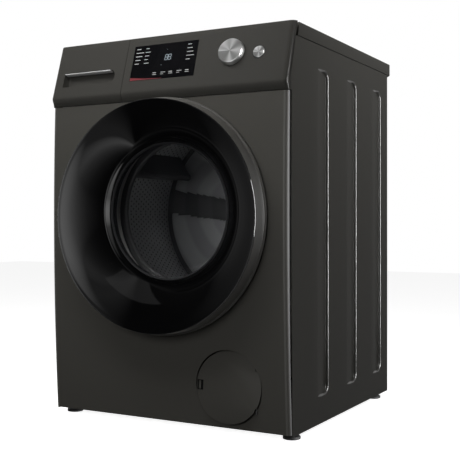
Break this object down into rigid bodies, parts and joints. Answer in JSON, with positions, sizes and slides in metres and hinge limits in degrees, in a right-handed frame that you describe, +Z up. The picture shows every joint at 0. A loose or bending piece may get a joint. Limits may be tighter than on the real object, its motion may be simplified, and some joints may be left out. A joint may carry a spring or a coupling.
{
  "type": "front load washing machine",
  "caption": "Front-loading washing machine with a round dished door, sloped control fascia, dispenser drawer, ribbed side panels, a hung tub and a belt-driven drum.",
  "frame": {"origin": "on the floor under the middle of the overall box", "axes": "+X to the right as one faces the door, +Y to the back, +Z up"},
  "size_m": [0.598, 0.68, 0.852],
  "materials": {
    "mocha_paint": "satin metallic paint",
    "mocha_plastic": "satin metallic paint on plastic",
    "galvanised_sheet": "zinc coated, dull",
    "black_plastic": "matte",
    "gloss_black": "polished",
    "grey_plastic": "satin",
    "circuit_board": "matte",
    "white_plastic": "matte",
    "blue_plastic": "satin",
    "grey_rubber": "matte",
    "black_rubber": "matte",
    "concrete": "cast, rough",
    "steel": "zinc plated",
    "stainless": "polished stainless",
    "cast_aluminium": "as cast",
    "glass": "clear",
    "chrome_trim": "polished",
    "brushed_metal": "radially brushed"
  },
  "bodies": {
    "cabinet": {"side_panel_left": "mocha_paint", "side_panel_right": "mocha_paint", "rear_panel": "galvanised_sheet", "rear_cover": "galvanised_sheet", "base_tray": "black_plastic", "front_panel": "mocha_paint", "top_panel": "mocha_plastic", "control_fascia": "mocha_plastic", "display_window": "gloss_black", "control_board": "circuit_board", "front_rail": "galvanised_sheet", "dispenser_housing": "grey_plastic", "inlet_valve": "white_plastic", "inlet_hose": "black_rubber", "drain_pump": "cast_aluminium", "filter_housing": "white_plastic", "door_lock": "white_plastic", "door_gasket": "grey_rubber", "hinge_bracket": "galvanised_sheet", "transit_caps": "black_plastic", "panel_screws": "steel", "cord_gland": "black_plastic", "drain_pipe": "black_rubber", "damper_cylinders": "black_plastic"},
    "tub": {"tub_front": "white_plastic", "tub_rear": "white_plastic", "counterweight_front": "concrete", "counterweight_top": "concrete", "heater": "steel", "drum_bearings": "steel", "motor": "cast_aluminium", "drive_belt": "black_rubber", "damper_rods": "steel", "suspension_springs": "steel", "sump_hose": "black_rubber", "fill_hose": "black_rubber"},
    "drum": {"drum_shell": "stainless", "drum_lifters": "grey_plastic", "drum_spider": "cast_aluminium", "drum_pulley": "cast_aluminium"},
    "motor_rotor": {"motor_pulley": "steel"},
    "door": {"door_rim": "gloss_black", "door_cover": "gloss_black", "door_window_ring": "grey_plastic", "door_glass": "glass", "door_inner_frame": "grey_plastic", "door_hinge_arm": "steel"},
    "door_latch": {"door_hook": "steel"},
    "drawer": {"drawer_front": "mocha_plastic", "drawer_tray": "grey_plastic", "drawer_handle": "chrome_trim", "siphon_cap": "blue_plastic"},
    "knob": {"program_knob": "brushed_metal"},
    "button": {"start_button": "brushed_metal"},
    "filter_flap": {"filter_door": "mocha_paint"},
    "filter_plug": {"filter_cap": "white_plastic"},
    "foot_fl": {"foot_front_left": "black_plastic"},
    "foot_fr": {"foot_front_right": "black_plastic"},
    "foot_rl": {"foot_rear_left": "black_plastic"},
    "foot_rr": {"foot_rear_right": "black_plastic"}
  },
  "joints": [
    {"name": "tub_float", "type": "slide", "parent": "cabinet", "child": "tub", "axis": [0, 0, 1], "range_m": [-0.012, 0.008], "stiffness_N_per_m": 16000, "springref_m": 0.01833, "deforming": ["suspension_springs", "door_gasket", "sump_hose", "fill_hose"]},
    {"name": "drum_spin", "type": "hinge", "parent": "tub", "child": "drum", "pos_m": [0, 0.103, 0.467], "axis": [0, 1, 0], "continuous": true},
    {"name": "motor_spin", "type": "hinge", "parent": "tub", "child": "motor_rotor", "pos_m": [-0.095, 0.143, 0.147], "axis": [0, 1, 0], "continuous": true},
    {"name": "door_hinge", "type": "hinge", "parent": "cabinet", "child": "door", "pos_m": [-0.247, -0.327, 0.4557], "axis": [0, 0, -1], "range_deg": [0, 130]},
    {"name": "hook_release", "type": "hinge", "parent": "door", "child": "door_latch", "pos_m": [0.205, -0.309, 0.467], "axis": [0, 0, 1], "range_deg": [0, 8], "stiffness_Nm_per_rad": 0.5},
    {"name": "drawer_slide", "type": "slide", "parent": "cabinet", "child": "drawer", "axis": [0, -1, 0], "range_m": [0, 0.2]},
    {"name": "knob_turn", "type": "hinge", "parent": "cabinet", "child": "knob", "pos_m": [0.1655, -0.2824, 0.7939], "axis": [0, -0.9557, 0.2944], "continuous": true},
    {"name": "button_press", "type": "slide", "parent": "cabinet", "child": "button", "axis": [0, 0.9557, -0.2944], "range_m": [0, 0.0012], "stiffness_N_per_m": 1200},
    {"name": "filter_door_hinge", "type": "hinge", "parent": "cabinet", "child": "filter_flap", "pos_m": [0.224, -0.28438, 0.102], "axis": [0, -0.0547, 0.9985], "range_deg": [0, 95]},
    {"name": "filter_cap_turn", "type": "hinge", "parent": "cabinet", "child": "filter_plug", "pos_m": [0.1596, -0.257, 0.102], "axis": [0, -1, 0], "range_deg": [0, 90]},
    {"name": "foot_fl_height", "type": "slide", "parent": "cabinet", "child": "foot_fl", "axis": [0, 0, -1], "range_m": [0, 0.012]},
    {"name": "foot_fr_height", "type": "slide", "parent": "cabinet", "child": "foot_fr", "axis": [0, 0, -1], "range_m": [0, 0.012]},
    {"name": "foot_rl_height", "type": "slide", "parent": "cabinet", "child": "foot_rl", "axis": [0, 0, -1], "range_m": [0, 0.012]},
    {"name": "foot_rr_height", "type": "slide", "parent": "cabinet", "child": "foot_rr", "axis": [0, 0, -1], "range_m": [0, 0.012]}
  ],
  "couplings": [
    {"joint": "motor_spin", "follows": "drum_spin", "ratio": 14}
  ]
}
